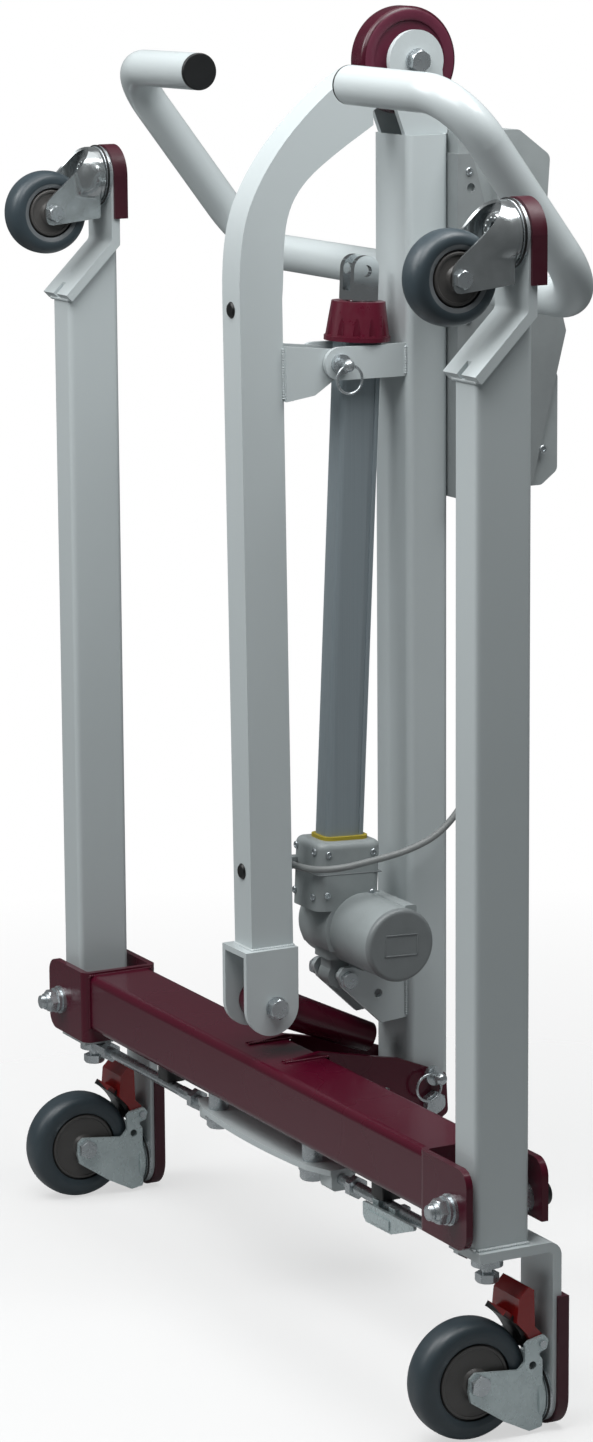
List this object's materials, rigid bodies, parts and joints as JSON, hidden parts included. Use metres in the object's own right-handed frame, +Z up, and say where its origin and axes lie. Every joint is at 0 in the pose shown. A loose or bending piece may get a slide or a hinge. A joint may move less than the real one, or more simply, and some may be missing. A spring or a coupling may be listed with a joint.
{
  "type": "sit to stand lift",
  "caption": "Folding sit to stand patient lift stored upright on its heels: spreading legs with casters, hinged mast and boom, electric actuator and battery box.",
  "frame": {"origin": "bottom centre of the folded lift, on the floor it stands on", "axes": "+X along the cross bar, +Y from the legs to the battery side, +Z up along the folded mast"},
  "size_m": [0.788, 0.3394, 1.123],
  "materials": {
    "white_coat": "glossy powder coat",
    "maroon_coat": "glossy powder coat",
    "maroon_rubber": "satin moulded rubber",
    "maroon_plastic": "satin moulded plastic",
    "wheel_maroon": "satin moulded plastic",
    "zinc": "bright zinc plate",
    "pressed_steel": "polished zinc plate",
    "chrome": "polished",
    "pedal_white": "glossy powder coat",
    "brake_red": "glossy red coating",
    "hub_grey": "satin moulded plastic",
    "tyre_grey": "soft grey tread",
    "black_plastic": "satin moulded plastic",
    "box_dark": "satin dark plastic",
    "box_grey": "fine textured plastic",
    "gearcase_grey": "fine textured plastic",
    "gasket_yellow": "matt rubber",
    "anodised": "satin anodised",
    "cable_grey": "matt sheath"
  },
  "bodies": {
    "base": {"base_crossbar": "maroon_coat", "leg_brackets": "maroon_coat", "base_bolts": "zinc", "mast_bracket": "maroon_coat", "spreader_plate": "white_coat"},
    "leg_right": {"leg_tube_right": "white_coat", "front_bracket_right": "white_coat", "rear_bracket_right": "white_coat", "bumpers_right": "maroon_rubber", "leg_pins_right": "zinc"},
    "front_caster_right": {"front_fork_right": "pressed_steel", "front_axle_right": "zinc"},
    "front_wheel_right": {"front_hub_right": "hub_grey", "front_tyre_right": "tyre_grey"},
    "rear_caster_right": {"rear_fork_right": "pressed_steel", "rear_axle_right": "zinc"},
    "rear_wheel_right": {"rear_hub_right": "hub_grey", "rear_tyre_right": "tyre_grey"},
    "brake_right": {"brake_pedal_right": "brake_red"},
    "leg_left": {"leg_tube_left": "white_coat", "front_bracket_left": "white_coat", "rear_bracket_left": "white_coat", "bumpers_left": "maroon_rubber", "leg_pins_left": "zinc"},
    "front_caster_left": {"front_fork_left": "pressed_steel", "front_axle_left": "zinc"},
    "front_wheel_left": {"front_hub_left": "hub_grey", "front_tyre_left": "tyre_grey"},
    "rear_caster_left": {"rear_fork_left": "pressed_steel", "rear_axle_left": "zinc"},
    "rear_wheel_left": {"rear_hub_left": "hub_grey", "rear_tyre_left": "tyre_grey"},
    "brake_left": {"brake_pedal_left": "brake_red"},
    "spreader_right": {"tie_rod_right": "zinc", "spread_pedal": "pedal_white"},
    "spreader_left": {"tie_rod_left": "zinc"},
    "mast": {"mast_tube": "white_coat", "mast_head": "white_coat", "mast_bolts": "zinc", "mast_lugs": "white_coat", "handlebar": "white_coat", "handle_end_caps": "black_plastic", "box_mount": "box_dark", "control_box": "box_grey", "actuator_cable": "cable_grey"},
    "battery": {"battery_pack": "box_grey"},
    "stair_wheel": {"top_wheel": "wheel_maroon"},
    "boom": {"boom_tube": "white_coat", "boom_plugs": "black_plastic", "boom_bracket": "white_coat", "boom_clevis": "white_coat", "hanger_bolt": "zinc"},
    "hanger": {"hanger_tube": "maroon_coat"},
    "actuator": {"actuator_housing": "gearcase_grey", "actuator_gasket": "gasket_yellow", "actuator_tube": "anodised", "actuator_cap": "maroon_plastic"},
    "ram": {"actuator_rod": "chrome"},
    "mast_lock": {"mast_lock_pin": "zinc"},
    "boom_lock": {"boom_lock_pin": "zinc"}
  },
  "joints": [
    {"name": "leg_spread_right", "type": "hinge", "parent": "base", "child": "leg_right", "pos_m": [0.366, -0.09317, 0.193], "axis": [0, 1, 0], "range_deg": [0, 18]},
    {"name": "tie_rod_travel_right", "type": "slide", "parent": "base", "child": "spreader_right", "axis": [-1, 0, 0], "range_m": [0, 0.0147]},
    {"name": "front_swivel_right", "type": "hinge", "parent": "leg_right", "child": "front_caster_right", "pos_m": [0.366, -0.09317, 0.963], "axis": [0, 1, 0], "continuous": true},
    {"name": "front_roll_right", "type": "hinge", "parent": "front_caster_right", "child": "front_wheel_right", "pos_m": [0.366, -0.13217, 0.932], "axis": [1, 0, 0], "continuous": true},
    {"name": "rear_swivel_right", "type": "hinge", "parent": "leg_right", "child": "rear_caster_right", "pos_m": [0.366, -0.09317, 0.028], "axis": [0, 1, 0], "continuous": true},
    {"name": "rear_roll_right", "type": "hinge", "parent": "rear_caster_right", "child": "rear_wheel_right", "pos_m": [0.366, -0.11667, 0.05], "axis": [1, 0, 0], "continuous": true},
    {"name": "brake_lever_right", "type": "hinge", "parent": "rear_caster_right", "child": "brake_right", "pos_m": [0.366, -0.05817, 0.075], "axis": [1, 0, 0], "range_deg": [0, 9]},
    {"name": "leg_spread_left", "type": "hinge", "parent": "base", "child": "leg_left", "pos_m": [-0.366, -0.09317, 0.193], "axis": [0, -1, 0], "range_deg": [0, 18]},
    {"name": "tie_rod_travel_left", "type": "slide", "parent": "base", "child": "spreader_left", "axis": [1, 0, 0], "range_m": [0, 0.0147]},
    {"name": "front_swivel_left", "type": "hinge", "parent": "leg_left", "child": "front_caster_left", "pos_m": [-0.366, -0.09317, 0.963], "axis": [0, 1, 0], "continuous": true},
    {"name": "front_roll_left", "type": "hinge", "parent": "front_caster_left", "child": "front_wheel_left", "pos_m": [-0.366, -0.13217, 0.932], "axis": [1, 0, 0], "continuous": true},
    {"name": "rear_swivel_left", "type": "hinge", "parent": "leg_left", "child": "rear_caster_left", "pos_m": [-0.366, -0.09317, 0.028], "axis": [0, 1, 0], "continuous": true},
    {"name": "rear_roll_left", "type": "hinge", "parent": "rear_caster_left", "child": "rear_wheel_left", "pos_m": [-0.366, -0.11667, 0.05], "axis": [1, 0, 0], "continuous": true},
    {"name": "brake_lever_left", "type": "hinge", "parent": "rear_caster_left", "child": "brake_left", "pos_m": [-0.366, -0.05817, 0.075], "axis": [1, 0, 0], "range_deg": [0, 9]},
    {"name": "mast_fold", "type": "hinge", "parent": "base", "child": "mast", "pos_m": [0, 0.04183, 0.172], "axis": [1, 0, 0], "range_deg": [-90, 0]},
    {"name": "battery_slide", "type": "slide", "parent": "mast", "child": "battery", "axis": [0, 1, 0], "range_m": [0, 0.12]},
    {"name": "stair_wheel_roll", "type": "hinge", "parent": "mast", "child": "stair_wheel", "pos_m": [0, 0.03433, 1.0775], "axis": [1, 0, 0], "continuous": true},
    {"name": "boom_fold", "type": "hinge", "parent": "mast", "child": "boom", "pos_m": [0, 0.03433, 1.0775], "axis": [1, 0, 0], "range_deg": [-135, 0]},
    {"name": "hanger_swing", "type": "hinge", "parent": "boom", "child": "hanger", "pos_m": [0, -0.10567, 0.2735], "axis": [1, 0, 0], "range_deg": [-2, 12]},
    {"name": "actuator_swing", "type": "hinge", "parent": "mast", "child": "actuator", "pos_m": [0, -0.03617, 0.29], "axis": [1, 0, 0], "range_deg": [0, 2.5]},
    {"name": "ram_travel", "type": "slide", "parent": "actuator", "child": "ram", "axis": [0, 0.0454, 0.999], "range_m": [0, 0.08]},
    {"name": "mast_lock_pull", "type": "slide", "parent": "base", "child": "mast_lock", "axis": [1, 0, 0], "range_m": [0, 0.012]},
    {"name": "boom_lock_pull", "type": "slide", "parent": "mast", "child": "boom_lock", "axis": [1, 0, 0], "range_m": [0, 0.035]}
  ],
  "couplings": [
    {"joint": "leg_spread_left", "follows": "leg_spread_right", "ratio": 1},
    {"joint": "tie_rod_travel_right", "follows": "leg_spread_right", "m_per_rad": 0.0462},
    {"joint": "tie_rod_travel_left", "follows": "leg_spread_right", "m_per_rad": 0.0462}
  ]
}
